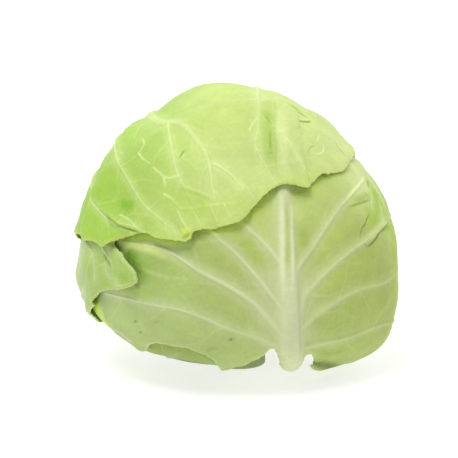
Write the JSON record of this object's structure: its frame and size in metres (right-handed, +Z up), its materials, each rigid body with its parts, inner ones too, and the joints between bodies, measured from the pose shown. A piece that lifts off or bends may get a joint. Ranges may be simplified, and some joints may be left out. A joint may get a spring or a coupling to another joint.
{
  "type": "cabbage head",
  "caption": "Round green cabbage head with overlapping waved and ribbed outer leaves round a dense heart, resting on the flat cut of its short stump.",
  "frame": {"origin": "centre of the stump's flat cut face, which the head rests on", "axes": "+Z up through the head, -Y towards the front leaf, +X to the right as the picture shows it"},
  "size_m": [0.1793, 0.1775, 0.156],
  "materials": {
    "stump": "pale, freshly cut, fibrous",
    "heart": "waxy, pale green",
    "under_leaf": "waxy, darker green",
    "right_leaf": "waxy, mid green",
    "front_leaf": "waxy, mid green with whitish ribs",
    "left_leaf": "waxy, mid green",
    "crown_leaf": "waxy, bright yellow green"
  },
  "bodies": {
    "root": {"stump": "stump", "heart": "heart", "under_leaf": "under_leaf", "right_leaf": "right_leaf", "front_leaf": "front_leaf", "left_leaf": "left_leaf", "crown_leaf": "crown_leaf"}
  },
  "joints": []
}
